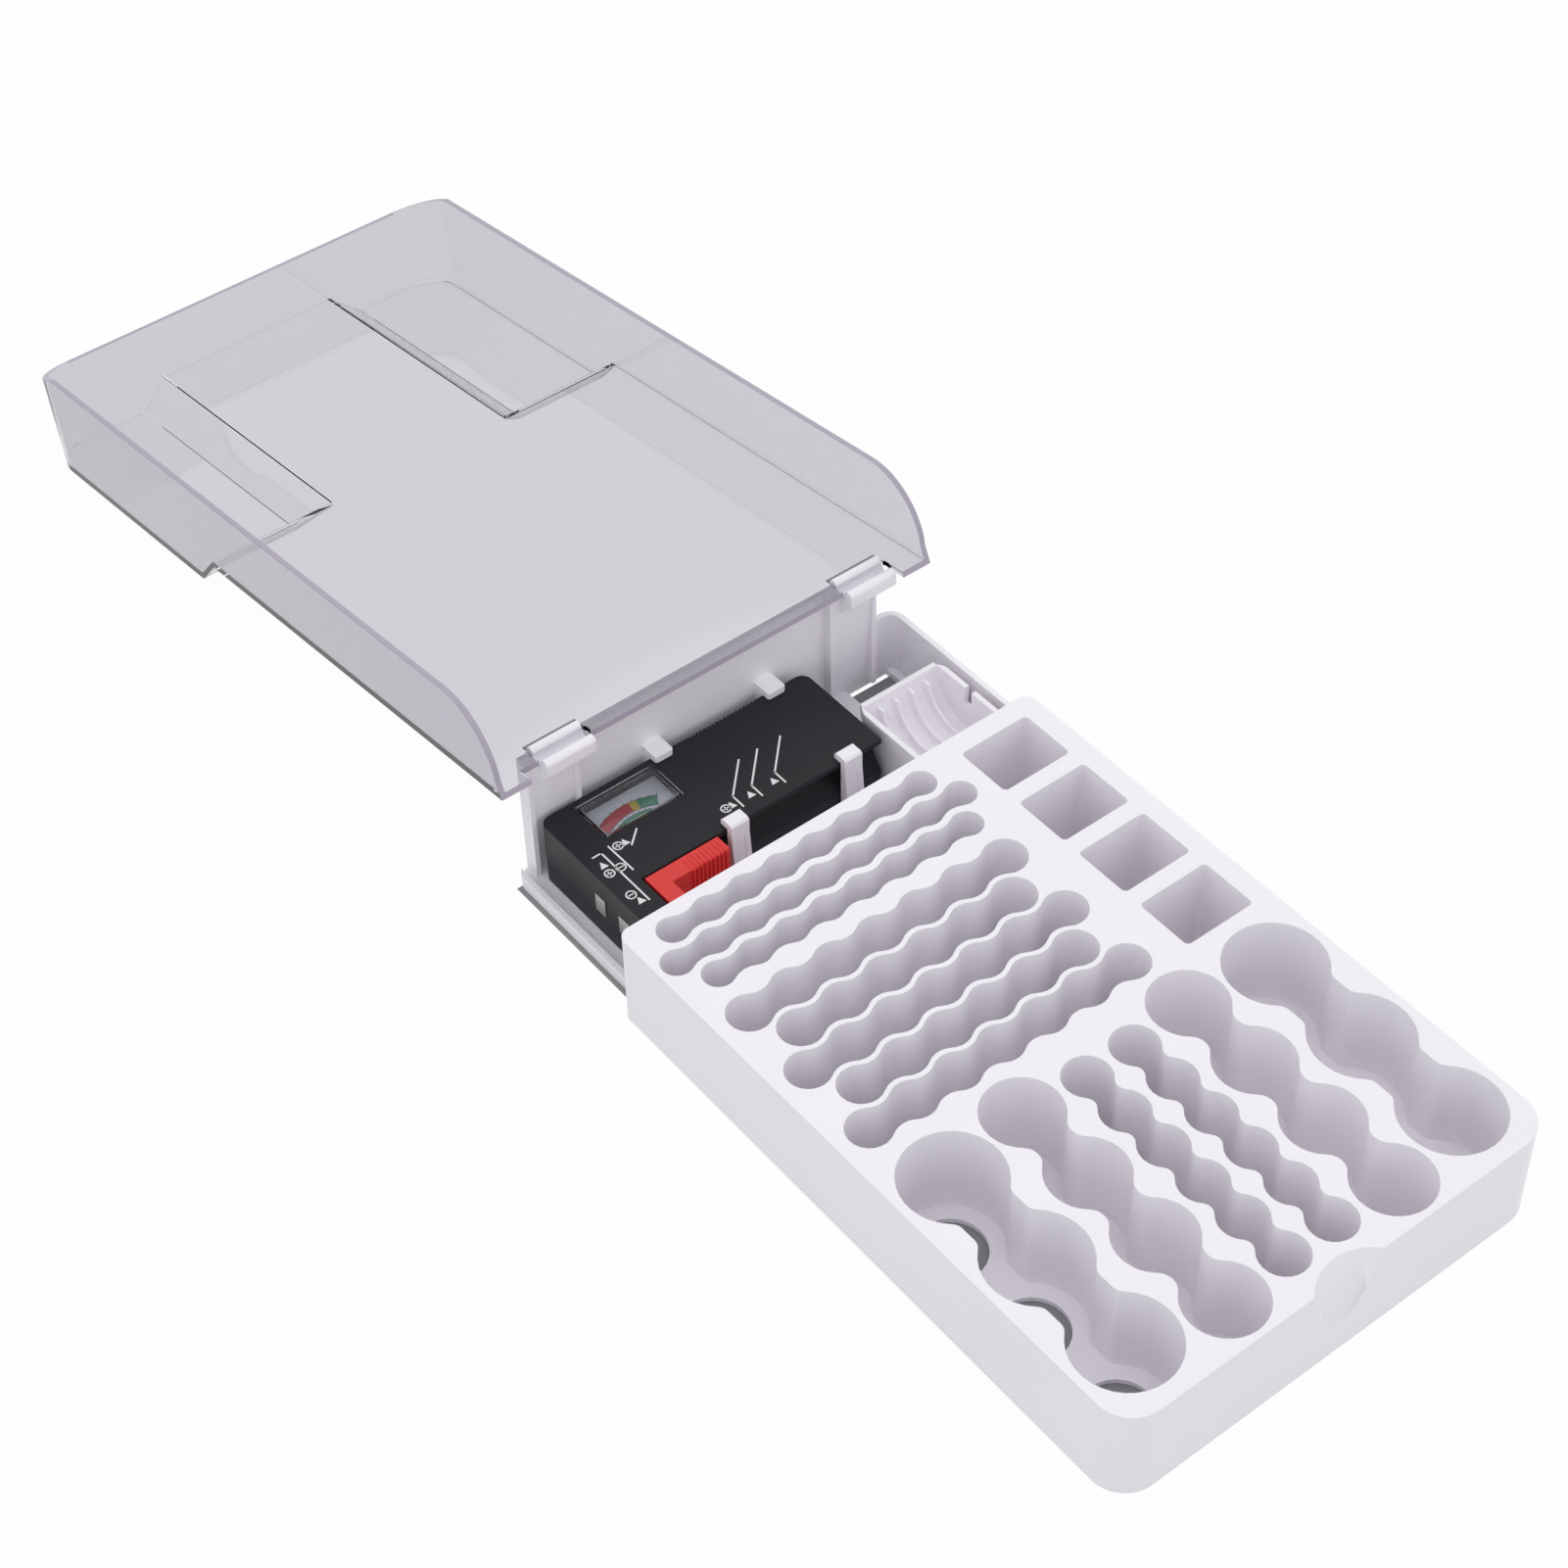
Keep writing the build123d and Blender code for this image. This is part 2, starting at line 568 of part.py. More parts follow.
def tester_top_shell():
    """The upper half: window opening and the grip teeth on the rear edge."""
    shell = tester_shell(True)
    shell -= block(window_left, window_right, window_front, window_rear,
                   tester_top - 2 * tester_wall, tester_top + extra)
    for i in range(grip_count):
        x = grip_first + i * grip_pitch
        shell -= block(x - grip_pitch / 4, x + grip_pitch / 4, tester_rear - grip_depth,
                       tester_rear + extra, shell_split - extra, tester_top + extra)
    return shell


def tester_base_shell():
    """The lower half: slider track in the front, contact slots in the left faces, board feet."""
    shell = tester_shell(False)
    shell -= block(arm_right + track_margin, tester_right - 2 * tester_wall, tester_front - extra,
                   tester_front + 2 * tester_wall, track_low, track_high)
    slot = Box(4 * tester_wall, tongue_width + 2 * tongue_gap, tongue_thickness + 2 * tongue_gap)
    for y, _ in strip_places:
        shell -= Pos(tester_left, y, strip_z) * slot
    shell -= Pos(arm_right, (arm_front + tester_front) / 2, strip_z) * slot
    for left in (board_left + foot_inset, board_left + board_length - foot_inset - foot_width):
        shell += block(left, left + foot_width, board_front + foot_inset,
                       board_front + board_width - foot_inset,
                       bay_floor + tester_wall / 2, bay_floor + board_height)
    return shell


def meter_window():
    """A clear cover with a flange under the opening's edge."""
    under = tester_top - tester_wall
    edge = window_gap + window_skin
    lens = block(window_left + window_gap, window_right - window_gap, window_front + window_gap,
                 window_rear - window_gap, under - window_skin, tester_top + window_proud)
    flange = block(window_left - window_flange, window_right + window_flange,
                   window_front - window_flange, window_rear + window_rear_flange,
                   under - window_skin, under)
    hollow = block(window_left + edge, window_right - edge, window_front + edge, window_rear - edge,
                   under - window_skin - extra, tester_top + window_proud - window_skin)
    return lens + flange - hollow


# ---- meter ----
def meter_frame():
    """A bracket: foot plate, upright with the dial's shelf, and the arm that guides the spindle."""
    post_front = pivot_y + yoke_radius + bracket_plate
    post_rear = post_front + 2 * bracket_plate
    arm_low = dial_z - 2.5 * bracket_arm
    foot = block(pivot_x - bracket_foot, pivot_x + bracket_foot, pivot_y - yoke_radius, post_rear,
                 meter_seat, meter_seat + bracket_plate)
    post = block(pivot_x - bracket_half, pivot_x + bracket_half, post_front, post_rear,
                 meter_seat, dial_z)
    arm = block(pivot_x - 2 * bracket_plate, pivot_x + 2 * bracket_plate,
                pivot_y - 2 * bracket_plate, post_rear - bracket_plate, arm_low, arm_low + bracket_arm)
    bore = Pos(pivot_x, pivot_y, arm_low) * Cylinder(spindle_radius + bearing_clearance, 3 * bracket_arm)
    return foot + post + arm - bore


def meter_yoke():
    """The soft-iron ring round the moving coil, on its base disc."""
    ring = Cylinder(yoke_radius, yoke_height) - Pos(0, 0, yoke_floor) * Cylinder(
        yoke_radius - yoke_wall, yoke_height)
    pit = Pos(0, 0, yoke_floor - yoke_height / 2) * Cylinder(
        spindle_radius + bearing_clearance, 2 * (pivot_pin - coil_clearance + bearing_clearance))
    return Pos(pivot_x, pivot_y, meter_seat + bracket_plate + yoke_height / 2) * (ring - pit)


def meter_core():
    """The round magnet inside the coil, held in the ring by a bar square to the coil's mid swing."""
    reach = yoke_radius - yoke_wall - bearing_clearance / 2
    core = Cylinder(core_radius, core_height) + Box(2 * reach, core_bar, core_bar)
    place = Pos(pivot_x, pivot_y, coil_low + coil_height / 2) * Rot(0, 0, -needle_swing / 2)
    return place * (core & Cylinder(reach, core_height))


def moving_coil():
    """The coil's frame: a rectangular loop round the core, with a lower pivot pin."""
    loop = Box(coil_width, 2 * coil_half_length, coil_height) - Box(
        2 * coil_width, 2 * (coil_half_length - coil_bundle), coil_height - 2 * coil_bundle)
    pin = Pos(0, 0, -(coil_height + pivot_pin) / 2) * Cylinder(spindle_radius, pivot_pin)
    return Pos(pivot_x, pivot_y, coil_low + coil_height / 2) * (loop + pin)


def meter_needle():
    """The pointer on its spindle, at the left end of the scale."""
    start = coil_low + coil_height
    needle_z = dial_z + dial_thickness + needle_height
    top = needle_z + 2 * needle_thickness
    spindle = Pos(0, 0, (start + top) / 2) * Cylinder(spindle_radius, top - start)
    pointer = Pos(0, needle_length / 2, needle_z) * Box(needle_width, needle_length, needle_thickness)
    tail = Pos(0, -needle_tail / 2, needle_z) * Box(needle_tail_width, needle_tail, needle_thickness)
    return Pos(pivot_x, pivot_y, 0) * (spindle + Rot(0, 0, needle_rest) * (pointer + tail))


def meter_dial():
    """The dial plate on the bracket's shelf."""
    return block(window_left - dial_side, window_right + dial_side,
                 pivot_y + yoke_radius + dial_front_gap, window_rear + dial_rear,
                 dial_z, dial_z + dial_thickness)


# ---- slider, contacts and electrics ----
def slider_knob():
    """The L-shaped red slider: grip, short leg, and the runner inside the housing."""
    rear = tester_front - slider_gap
    body = block(slider_left, slider_right, slider_front, rear, slider_low, slider_high)
    body += block(slider_left, slider_leg_right, slider_leg_front, slider_front, slider_low, slider_high)
    body = chamfer(body.edges().filter_by(Axis.Z).sort_by(Axis.Y)[:2], slider_chamfer)
    for i in range(rib_count):
        right = slider_right - rib_first + rib_width / 2 - i * rib_pitch
        body += block(right - rib_width, right, slider_front - rib_height, slider_front,
                      slider_low, slider_high)
        body += block(right - rib_width, right, slider_front, rear - rib_back,
                      slider_high, slider_high + rib_top)
    inside = tester_front + tester_wall + runner_gap
    neck = block(slider_left + neck_inset, slider_left + neck_inset + neck_length, rear, inside,
                 track_low + neck_gap, track_high - neck_gap)
    middle = (track_low + track_high) / 2
    runner = block(slider_left + runner_inset, slider_left + runner_inset + runner_length, inside,
                   inside + runner_thickness, middle - runner_height / 2, middle + runner_height / 2)
    return body + neck + runner


def slider_contact():
    """The plate that touches a cell's positive end, on the slider's left face."""
    front = slider_leg_front + slider_plate_inset
    return block(slider_left - contact_thickness, slider_left, front, front + slider_plate_length,
                 slider_low + slider_plate_low, slider_high - slider_plate_drop)


def strip_contact(face, side, middle, width, height, tongue):
    """A contact strip on an upright face, with a tongue through the wall behind it."""
    outer = face + side * contact_thickness
    plate = block(min(face, outer), max(face, outer), middle - width / 2, middle + width / 2,
                  strip_z - height / 2, strip_z + height / 2)
    tip = face - side * (tester_wall + tongue)
    return plate + block(min(face, tip), max(face, tip), middle - tongue_width / 2,
                         middle + tongue_width / 2, strip_z - tongue_thickness / 2,
                         strip_z + tongue_thickness / 2)


def resistor_board():
    """The circuit board on two feet of the base."""
    z = bay_floor + board_height
    return block(board_left, board_left + board_length, board_front, board_front + board_width,
                 z, z + board_thickness)


def load_resistors():
    """Two load resistors that lie on the board."""
    z = bay_floor + board_height + board_thickness + resistor_radius
    middle = board_left + board_length / 2
    return [Pos(middle, board_front + y, z) * Rot(0, 90, 0) * Cylinder(resistor_radius, resistor_length)
            for y in resistor_rows]


def tester_screws():
    """Self-tapping screws up through the base into the upper shell."""
    head_top = bay_floor + screw_head_height
    shank = shell_split + screw_grip - head_top
    return [Pos(x, y, bay_floor + screw_head_height / 2) * Cylinder(screw_head_radius, screw_head_height)
            + Pos(x, y, head_top + shank / 2) * Cylinder(screw_radius, shank) for x, y in screw_places]


save("battery_tray", battery_tray())
save("tester_bay", tester_bay())
save("coin_cell_box", coin_cell_box())
save("clear_lid", place_lid(clear_lid()))
save("tester_top_shell", tester_top_shell())
save("tester_base_shell", tester_base_shell())
save("meter_window", meter_window())
save("meter_frame", meter_frame())
save("meter_yoke", meter_yoke())
save("meter_core", meter_core())
save("moving_coil", moving_coil())
save("meter_needle", meter_needle())
save("meter_dial", meter_dial())
save("slider_knob", slider_knob())
save("slider_contact", slider_contact())
save("fixed_contact", strip_contact(arm_right, 1, (arm_front + tester_front) / 2,
                                    plate_width, plate_height, plate_tongue))
for strip_y, strip_name in strip_places:
    save(strip_name + "_contact", strip_contact(tester_left, -1, strip_y,
                                                strip_width, strip_height, strip_tongue))
save("resistor_board", resistor_board())
save("load_resistors", Compound(children=load_resistors()))
save("tester_screws", Compound(children=tester_screws()))
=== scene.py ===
import json
import math

import bmesh
import bpy
from mathutils import Matrix, Vector

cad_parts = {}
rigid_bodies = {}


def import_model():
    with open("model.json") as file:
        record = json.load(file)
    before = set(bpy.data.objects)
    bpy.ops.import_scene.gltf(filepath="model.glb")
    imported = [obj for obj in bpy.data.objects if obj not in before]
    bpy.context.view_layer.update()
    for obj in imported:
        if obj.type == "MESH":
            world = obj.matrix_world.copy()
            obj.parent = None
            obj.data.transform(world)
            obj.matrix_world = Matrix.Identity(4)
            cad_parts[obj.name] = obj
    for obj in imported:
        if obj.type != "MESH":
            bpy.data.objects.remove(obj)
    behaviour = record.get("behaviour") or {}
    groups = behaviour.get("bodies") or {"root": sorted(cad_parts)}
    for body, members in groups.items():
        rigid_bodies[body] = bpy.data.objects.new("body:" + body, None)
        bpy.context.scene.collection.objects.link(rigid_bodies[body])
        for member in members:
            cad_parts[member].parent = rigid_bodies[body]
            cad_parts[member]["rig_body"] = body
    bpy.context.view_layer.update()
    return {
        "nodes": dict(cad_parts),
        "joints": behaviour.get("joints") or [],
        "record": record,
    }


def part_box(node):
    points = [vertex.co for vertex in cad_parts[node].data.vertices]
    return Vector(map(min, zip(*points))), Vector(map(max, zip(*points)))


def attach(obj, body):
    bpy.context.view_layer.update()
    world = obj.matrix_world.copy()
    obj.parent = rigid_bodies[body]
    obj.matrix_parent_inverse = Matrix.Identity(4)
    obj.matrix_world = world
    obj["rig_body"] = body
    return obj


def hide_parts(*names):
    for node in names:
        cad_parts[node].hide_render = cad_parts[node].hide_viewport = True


mm = 0.001
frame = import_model()
nodes = frame["nodes"]
joints = {joint["name"]: joint for joint in frame["joints"]}
slots = {part["node"]: part["material_slot"] for part in frame["record"]["subparts"]}
print("frame loaded", len(nodes), "nodes")


view = {
    "place": (-0.4719, -0.5111, 0.8303),
    "right": (0.78426601, -0.62016279, -0.01802668),
    "up": (0.45395558, 0.55378817, 0.69802793),
    "back": (-0.42290797, -0.55562288, 0.71584359),
    "lens": 76.42, "sensor": 36.0,
}


def makeCamera():
    data = bpy.data.cameras.new("camera")
    data.lens = view["lens"]
    data.sensor_width = view["sensor"]
    camera = bpy.data.objects.new("camera", data)
    bpy.context.scene.collection.objects.link(camera)
    turn = Matrix((view["right"], view["up"], view["back"])).transposed()  # columns: the camera's own axes
    camera.matrix_world = Matrix.Translation(view["place"]) @ turn.to_4x4()
    bpy.context.scene.camera = camera


studio = {
    "floorSize": 8.0, "floorDrop": 0.2 * mm, "floorColour": (0.64, 0.64, 0.65, 1), "cleanShare": 0.97,
    "footprint": (82 * mm, 152 * mm),  # the grey table shows through the case's holes, painted darker under the case as shade
    # painted shade: the table under the case gets a darker grey than the rest of the floor
    "shadedTableColour": (0.30, 0.30, 0.31, 1), "tableRoughness": 0.9,
    "world": 0.88,
    "lamps": {
        "keyLamp": {"place": (-0.9, -0.7, 2.0), "size": 1.3, "power": 2.5},
        "rearLamp": {"place": (0.9, 1.6, 1.7), "size": 1.3, "power": 1.8},
    },
}


def rayShare(tree, names):
    paths = tree.nodes.new("ShaderNodeLightPath")
    share = paths.outputs[names[0]]
    for name in names[1:]:
        more = tree.nodes.new("ShaderNodeMath")
        more.operation = "MAXIMUM"
        tree.links.new(share, more.inputs[0])
        tree.links.new(paths.outputs[name], more.inputs[1])
        share = more.outputs["Value"]
    return share


def floorMaterial():
    material = bpy.data.materials.new("paleFloor")
    material.use_nodes = True
    tree = material.node_tree
    n, link = tree.nodes, tree.links.new
    matt = n["Principled BSDF"]
    tone = n.new("ShaderNodeMix")
    tone.data_type = "RGBA"
    # painted shade: inside the footprint the floor takes the darker table grey instead of the pale floor
    # colour
    for socket, colour in ((6, "shadedTableColour"), (7, "floorColour")):
        tone.inputs[socket].default_value = studio[colour]
    matt.inputs["Roughness"].default_value = studio["tableRoughness"]
    matt.inputs["Specular IOR Level"].default_value = 0.0
    white, blend = n.new("ShaderNodeEmission"), n.new("ShaderNodeMixShader")
    place, parts = n.new("ShaderNodeTexCoord"), n.new("ShaderNodeSeparateXYZ")
    link(place.outputs["Object"], parts.inputs["Vector"])
    outside = []
    for axis, reach in zip("XY", studio["footprint"]):
        size, past = n.new("ShaderNodeMath"), n.new("ShaderNodeMath")
        size.operation, past.operation = "ABSOLUTE", "GREATER_THAN"
        past.inputs[1].default_value = reach
        link(parts.outputs[axis], size.inputs[0])
        link(size.outputs["Value"], past.inputs[0])
        outside.append(past)
    either, seen, share = (n.new("ShaderNodeMath") for _ in range(3))
    either.operation, seen.operation, share.operation = "MAXIMUM", "MULTIPLY", "MULTIPLY"
    share.inputs[1].default_value = studio["cleanShare"]
    link(outside[0].outputs["Value"], either.inputs[0])
    link(outside[1].outputs["Value"], either.inputs[1])
    link(either.outputs["Value"], seen.inputs[0])
    link(either.outputs["Value"], tone.inputs["Factor"])
    link(tone.outputs[2], matt.inputs["Base Color"])
    link(rayShare(tree, ("Is Camera Ray", "Is Glossy Ray", "Is Transmission Ray")), seen.inputs[1])
    link(seen.outputs["Value"], share.inputs[0])
    link(share.outputs["Value"], blend.inputs["Fac"])
    link(matt.outputs["BSDF"], blend.inputs[1])
    link(white.outputs["Emission"], blend.inputs[2])
    link(blend.outputs["Shader"], n["Material Output"].inputs["Surface"])
    return material


def makeFloor():
    half = studio["floorSize"] / 2
    corners = [(-half, -half, 0), (half, -half, 0), (half, half, 0), (-half, half, 0)]
    mesh = bpy.data.meshes.new("floor")
    mesh.from_pydata(corners, [], [list(range(len(corners)))])
    mesh.materials.append(floorMaterial())
    floor = bpy.data.objects.new("floor", mesh)
    floor.location.z = -studio["floorDrop"]
    bpy.context.scene.collection.objects.link(floor)


def makeLamp(name, place, size, power):
    data = bpy.data.lights.new(name, "AREA")
    data.shape, data.size, data.energy = "DISK", size, power
    lamp = bpy.data.objects.new(name, data)
    lamp.location = place
    lamp.rotation_euler = (-Vector(place)).to_track_quat("-Z", "Y").to_euler()
    bpy.context.scene.collection.objects.link(lamp)


def makeWorld():
    world = bpy.data.worlds.new("studio")
    world.use_nodes = True
    tree = world.node_tree
    strength = tree.nodes.new("ShaderNodeMapRange")
    strength.inputs["To Min"].default_value = studio["world"]
    strength.inputs["To Max"].default_value = 1.0
    seen = rayShare(tree, ("Is Camera Ray", "Is Glossy Ray", "Is Transmission Ray"))
    tree.links.new(seen, strength.inputs["Value"])
    tree.nodes["Background"].inputs["Color"].default_value = (1, 1, 1, 1)
    tree.links.new(strength.outputs["Result"], tree.nodes["Background"].inputs["Strength"])
    bpy.context.scene.world = world


makeCamera()
makeFloor()
for lampName, lampPlan in studio["lamps"].items():
    makeLamp(lampName, **lampPlan)
makeWorld()
bpy.context.scene.view_settings.view_transform = "Standard"
print("camera and studio made")


def newMaterial(name, colour, roughness, metallic=0.0, specular=0.5):
    material = bpy.data.materials.new(name)
    material.use_nodes = True
    shader = material.node_tree.nodes["Principled BSDF"]
    shader.inputs["Base Color"].default_value = (*colour, 1)
    shader.inputs["Roughness"].default_value = roughness
    shader.inputs["Metallic"].default_value = metallic
    shader.inputs["Specular IOR Level"].default_value = specular
    return material, material.node_tree, shader


grain = {"broadScale": 22.0, "broadDetail": 2.0, "middle": (0.3, 0.7), "relief": 0.2 * mm}


def makeMouldGrain():
    group = bpy.data.node_groups.new("mouldGrain", "ShaderNodeTree")
    for name, kind in (("Scale", "Float"), ("Low Roughness", "Float"), ("High Roughness", "Float"),
                       ("Depth", "Float"), ("Mottle", "Float"), ("Colour", "Color")):
        group.interface.new_socket(name, in_out="INPUT", socket_type="NodeSocket" + kind)
    for name, kind in (("Colour", "Color"), ("Roughness", "Float"), ("Normal", "Vector")):
        group.interface.new_socket(name, in_out="OUTPUT", socket_type="NodeSocket" + kind)
    n, link = group.nodes, group.links.new
    entry, leave, place = n.new("NodeGroupInput"), n.new("NodeGroupOutput"), n.new("ShaderNodeTexCoord")
    fine, broad = n.new("ShaderNodeTexNoise"), n.new("ShaderNodeTexNoise")
    broad.inputs["Scale"].default_value = grain["broadScale"]
    broad.inputs["Detail"].default_value = grain["broadDetail"]
    spread, shade = n.new("ShaderNodeMapRange"), n.new("ShaderNodeMapRange")
    shade.inputs["From Min"].default_value, shade.inputs["From Max"].default_value = grain["middle"]
    shade.inputs["To Max"].default_value = 1.0
    bump, minus, tint = n.new("ShaderNodeBump"), n.new("ShaderNodeMath"), n.new("ShaderNodeVectorMath")
    bump.inputs["Distance"].default_value = grain["relief"]
    minus.operation, tint.operation = "SUBTRACT", "SCALE"
    minus.inputs[0].default_value = 1.0
    for texture in (fine, broad):
        link(place.outputs["Object"], texture.inputs["Vector"])
    link(entry.outputs["Scale"], fine.inputs["Scale"])
    link(broad.outputs["Fac"], spread.inputs["Value"])
    link(entry.outputs["Low Roughness"], spread.inputs["To Min"])
    link(entry.outputs["High Roughness"], spread.inputs["To Max"])
    link(fine.outputs["Fac"], bump.inputs["Height"])
    link(entry.outputs["Depth"], bump.inputs["Strength"])
    link(entry.outputs["Mottle"], minus.inputs[1])
    link(minus.outputs["Value"], shade.inputs["To Min"])
    link(broad.outputs["Fac"], shade.inputs["Value"])
    link(entry.outputs["Colour"], tint.inputs["Vector"])
    link(shade.outputs["Result"], tint.inputs["Scale"])
    link(spread.outputs["Result"], leave.inputs["Roughness"])
    link(bump.outputs["Normal"], leave.inputs["Normal"])
    link(tint.outputs["Vector"], leave.inputs["Colour"])
    return group


mouldGrain = makeMouldGrain()


def grained(name, colour, low, high, scale=2500.0, depth=0.15, mottle=0.03, **rest):
    material, tree, shader = newMaterial(name, colour, (low + high) / 2, **rest)
    group = tree.nodes.new("ShaderNodeGroup")
    group.node_tree = mouldGrain
    for key, value in (("Scale", scale), ("Low Roughness", low), ("High Roughness", high), ("Depth", depth),
                       ("Mottle", mottle), ("Colour", (*colour, 1))):
        group.inputs[key].default_value = value
    for output, socket in (("Colour", "Base Color"), ("Roughness", "Roughness"), ("Normal", "Normal")):
        tree.links.new(group.outputs[output], shader.inputs[socket])
    return material


clear = {"acrylicIor": 1.49, "creaseHighlightIor": 1.05, "patchScale": 15.0}  # a lower index keeps the creases bright as painted highlight lines


def clearPlastic(name, colour, low=0.02, high=0.06, transmission=1.0, ior=clear["acrylicIor"]):
    material, tree, shader = newMaterial(name, colour, low)
    shader.inputs["Transmission Weight"].default_value = transmission
    shader.inputs["IOR"].default_value = ior
    place, noise = tree.nodes.new("ShaderNodeTexCoord"), tree.nodes.new("ShaderNodeTexNoise")
    noise.inputs["Scale"].default_value = clear["patchScale"]
    spread = tree.nodes.new("ShaderNodeMapRange")  # handling leaves some patches a little duller
    spread.inputs["To Min"].default_value = low
    spread.inputs["To Max"].default_value = high
    tree.links.new(place.outputs["Object"], noise.inputs["Vector"])
    tree.links.new(noise.outputs["Fac"], spread.inputs["Value"])
    tree.links.new(spread.outputs["Result"], shader.inputs["Roughness"])
    return material


finishes = {
    "case_plastic": grained("whiteCase", (0.935, 0.91, 0.965), 0.26, 0.36, depth=0.05, mottle=0.02),
    "lid_plastic": clearPlastic("clearLid", (0.615, 0.613, 0.66)),
    "tester_plastic": grained("blackHousing", (0.019, 0.019, 0.024), 0.38, 0.48, depth=0.35, mottle=0.15,
                              specular=0.2),
    "window_plastic": clearPlastic("clearWindow", (0.96, 0.97, 1.0)),
    "brass_part": grained("stampedBrass", (0.55, 0.40, 0.14), 0.3, 0.4, metallic=1.0),
    "iron_part": grained("platedIron", (0.4, 0.4, 0.41), 0.35, 0.5, metallic=1.0),
    "magnet": grained("magnetGrey", (0.08, 0.08, 0.085), 0.5, 0.6),
    "coil_aluminium": grained("coilFormer", (0.5, 0.22, 0.1), 0.3, 0.4, metallic=0.6),
    "needle": grained("needlePaint", (0.75, 0.05, 0.03), 0.3, 0.4),
    "dial_card": grained("dialCard", (0.76, 0.78, 0.85), 0.5, 0.6, depth=0.05, mottle=0.02),
    "slider_plastic": grained("redSlider", (0.75, 0.02, 0.016), 0.3, 0.4, depth=0.1, mottle=0.05),
    "contact_metal": grained("nickelContact", (0.47, 0.46, 0.44), 0.22, 0.34, metallic=1.0, depth=0.1),
    "board": grained("phenolicBoard", (0.22, 0.15, 0.05), 0.5, 0.6),
    "resistor_body": grained("resistorLacquer", (0.5, 0.38, 0.24), 0.35, 0.45),
    "screw_steel": grained("zincScrew", (0.5, 0.5, 0.52), 0.25, 0.4, metallic=1.0),
}
lidTrim = {
    # cut-edge finish: partly the sheet's own tint, partly painted shade: an opaque purple-grey standing in
    # for the dark look of the lid's cut edges
    "cut": clearPlastic("lidCutEdgeShade", (0.42, 0.38, 0.47), 0.25, 0.35, transmission=0.0),
    # painted highlight: a bright, barely refracting finish for the lid's rounded edges
    "paintedHighlight": clearPlastic("lidCreaseHighlight", (0.95, 0.95, 0.97), 0.10, 0.20, ior=clear["creaseHighlightIor"]),
}
prints = {
    "white": grained("whitePrint", (0.80, 0.81, 0.83), 0.4, 0.5),
    "red": grained("dialRed", (0.60, 0.035, 0.03), 0.5, 0.6),
    "yellow": grained("dialYellow", (0.65, 0.48, 0.03), 0.5, 0.6),
    "green": grained("dialGreen", (0.02, 0.27, 0.13), 0.5, 0.6),
    "black": grained("dialBlack", (0.02, 0.02, 0.022), 0.5, 0.6),
}
print("materials made", len(finishes) + len(lidTrim) + len(prints))


softEdges = {  # width in mm and segments of the rounding on each moulding's edges
    "battery_tray": (0.45, 3), "tester_bay": (0.35, 2), "coin_cell_box": (0.3, 2), "clear_lid": (1.3, 3),
    "tester_top_shell": (0.6, 3), "tester_base_shell": (0.5, 3), "slider_knob": (0.4, 3),
    "meter_window": (0.25, 2),
}
merge = {"dist": 0.004 * mm, "flat": math.radians(0.6), "sharp": math.radians(32), "evenness": 90}


def dressed(node, width, segments):
    source = nodes[node]
    mesh = source.data.copy()
    mesh.materials.clear()
    form = bmesh.new()
    form.from_mesh(mesh)
    bmesh.ops.remove_doubles(form, verts=form.verts, dist=merge["dist"])
    bmesh.ops.dissolve_limit(form, angle_limit=merge["flat"], verts=form.verts, edges=form.edges)
    form.to_mesh(mesh)
    form.free()
    mesh.polygons.foreach_set("use_smooth", [True] * len(mesh.polygons))
    mesh.set_sharp_from_angle(angle=merge["sharp"])
    mesh.materials.append(finishes[slots[node]])
    piece = bpy.data.objects.new(node + "_finished", mesh)
    bpy.context.scene.collection.objects.link(piece)
    rounding = piece.modifiers.new("rounding", "BEVEL")
    rounding.width, rounding.segments = width * mm, segments
    rounding.limit_method, rounding.angle_limit = "ANGLE", merge["sharp"]
    rounding.miter_outer = "MITER_ARC"
    evened = piece.modifiers.new("evened", "WEIGHTED_NORMAL")  # keeps the large faces flat to the light
    evened.weight = merge["evenness"]
    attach(piece, source["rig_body"])
    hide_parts(node)
    return piece


finished = {node: dressed(node, *size) for node, size in softEdges.items()}
for name, node in nodes.items():
    if name not in softEdges:
        node.data.materials.clear()
        node.data.materials.append(finishes[slots[name]])
print("pieces dressed", len(finished))


hinge = joints["lid_hinge"]
lidAngle = math.radians(-hinge["range_deg"][0] - 180)
lidAxes = Matrix(((1, 0, 0), (0, math.cos(lidAngle), math.sin(lidAngle)),
                  (0, -math.sin(lidAngle), math.cos(lidAngle))))  # columns: across, out, up from the panel
lidCut = {
    "above": 3 * mm, "facing": 0.5, "rear": 24 * mm, "panel": 1.0 * mm,
    "bar": 3.2 * mm, "barFacet": 8 * mm ** 2,  # the bar's facets are the small ones near the hinge's axis
    "creaseShare": 1.0,
    "rimShare": 0.25,  # the cut rim keeps nearly its whole thickness
}
faceKinds = {"cut": 1, "paintedHighlight": 2}


def toLid(point):
    return lidAxes.transposed() @ (point - Vector(hinge["pos_m"]))


def fromLid(x, out, up):
    return Vector(hinge["pos_m"]) + lidAxes @ Vector((x, out, up))


